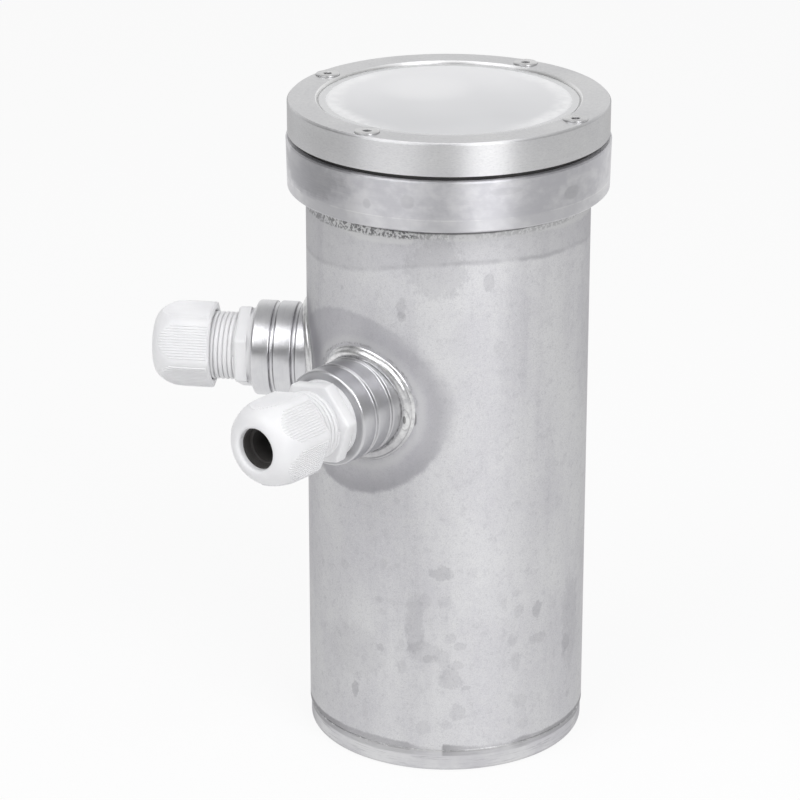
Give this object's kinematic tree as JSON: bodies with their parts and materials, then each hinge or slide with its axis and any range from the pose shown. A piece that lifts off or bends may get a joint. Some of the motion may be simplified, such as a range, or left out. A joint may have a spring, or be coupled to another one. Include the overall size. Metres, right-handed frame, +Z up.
{
  "type": "recessed spotlight",
  "caption": "Recessed ground spotlight: a welded steel can with a bolted glass bezel on a thick flange and plastic cable glands on its side.",
  "frame": {"origin": "centre of the base's underside, on the tube axis", "axes": "+Z up along the tube axis, -X along the rear gland; the front gland is at 240 degrees from +X about +Z, so -Y is about the picture's side"},
  "size_m": [0.1444, 0.1361, 0.2105],
  "materials": {
    "bezel_steel": "stainless steel, brushed round the ring",
    "screw_steel": "stainless screw, turned head",
    "turned_steel": "stainless steel, turned and pickled",
    "pickled_steel": "stainless steel, matte pickled",
    "weld_steel": "weld bead, rippled and part ground",
    "frosted_glass": "toughened glass, frosted inside a clear rim",
    "silicone": "grey silicone",
    "black_rubber": "black rubber",
    "gland_plastic": "near-white nylon, semi-matte",
    "aluminium": "plain aluminium",
    "board": "white solder mask",
    "led_phosphor": "yellow phosphor",
    "lens_plastic": "clear acrylic",
    "zinc_steel": "zinc-coated sheet",
    "driver_plastic": "potted driver case",
    "terminal_plastic": "cream nylon",
    "brass": "plain brass",
    "earth_wire": "green and yellow insulation",
    "mains_wire": "brown insulation",
    "led_wire": "red insulation"
  },
  "bodies": {
    "housing": {"lid_gasket": "black_rubber", "top_flange": "turned_steel", "flange_weld": "weld_steel", "housing_tube": "pickled_steel", "base_plate": "pickled_steel", "base_weld": "weld_steel", "led_carrier": "aluminium", "carrier_screws": "screw_steel", "heat_sink": "aluminium", "led_board": "board", "led_emitters": "led_phosphor", "lens_tray": "lens_plastic", "gear_tray": "zinc_steel", "tray_screws": "screw_steel", "led_driver": "driver_plastic", "driver_screws": "screw_steel", "terminal_block": "terminal_plastic", "terminal_screws": "brass", "earth_stud": "brass", "earth_nut": "brass", "earth_lead": "earth_wire", "driver_leads": "mains_wire", "led_leads": "led_wire", "front_socket": "turned_steel", "front_socket_weld": "weld_steel", "front_gland_washer": "gland_plastic", "front_gland_body": "gland_plastic", "rear_socket": "turned_steel", "rear_socket_weld": "weld_steel", "rear_gland_washer": "gland_plastic", "rear_gland_body": "gland_plastic"},
    "lid": {"bezel_ring": "bezel_steel", "glass_disc": "frosted_glass", "glass_seal": "silicone"},
    "screw_1": {"bezel_screw_1": "screw_steel"},
    "screw_2": {"bezel_screw_2": "screw_steel"},
    "screw_3": {"bezel_screw_3": "screw_steel"},
    "screw_4": {"bezel_screw_4": "screw_steel"},
    "front_insert": {"front_gland_claw": "gland_plastic", "front_gland_seal": "black_rubber"},
    "front_nut": {"front_gland_nut": "gland_plastic"},
    "rear_insert": {"rear_gland_claw": "gland_plastic", "rear_gland_seal": "black_rubber"},
    "rear_nut": {"rear_gland_nut": "gland_plastic"}
  },
  "joints": [
    {"name": "lid_lift", "type": "slide", "parent": "housing", "child": "lid", "axis": [0, 0, 1], "range_m": [0, 0.06]},
    {"name": "screw_1_turn", "type": "hinge", "parent": "lid", "child": "screw_1", "pos_m": [-0.01914, -0.04106, 0.21], "axis": [0, 0, 1], "continuous": true},
    {"name": "screw_2_turn", "type": "hinge", "parent": "lid", "child": "screw_2", "pos_m": [0.04106, -0.01914, 0.21], "axis": [0, 0, 1], "continuous": true},
    {"name": "screw_3_turn", "type": "hinge", "parent": "lid", "child": "screw_3", "pos_m": [0.01914, 0.04106, 0.21], "axis": [0, 0, 1], "continuous": true},
    {"name": "screw_4_turn", "type": "hinge", "parent": "lid", "child": "screw_4", "pos_m": [-0.04106, 0.01914, 0.21], "axis": [0, 0, 1], "continuous": true},
    {"name": "front_nut_travel", "type": "slide", "parent": "housing", "child": "front_insert", "axis": [-0.5, -0.866, 0], "range_m": [-0.0046, 0.0031]},
    {"name": "front_nut_turn", "type": "hinge", "parent": "front_insert", "child": "front_nut", "pos_m": [-0.042, -0.07275, 0.1222], "axis": [-0.5, -0.866, 0], "range_deg": [-1080, 720]},
    {"name": "rear_nut_travel", "type": "slide", "parent": "housing", "child": "rear_insert", "axis": [-1, 0, 0], "range_m": [-0.0046, 0.0031]},
    {"name": "rear_nut_turn", "type": "hinge", "parent": "rear_insert", "child": "rear_nut", "pos_m": [-0.084, 0, 0.1246], "axis": [-1, 0, 0], "range_deg": [-1080, 720]}
  ],
  "couplings": [
    {"joint": "front_nut_travel", "follows": "front_nut_turn", "m_per_rad": 0.00023873},
    {"joint": "rear_nut_travel", "follows": "rear_nut_turn", "m_per_rad": 0.00023873}
  ]
}
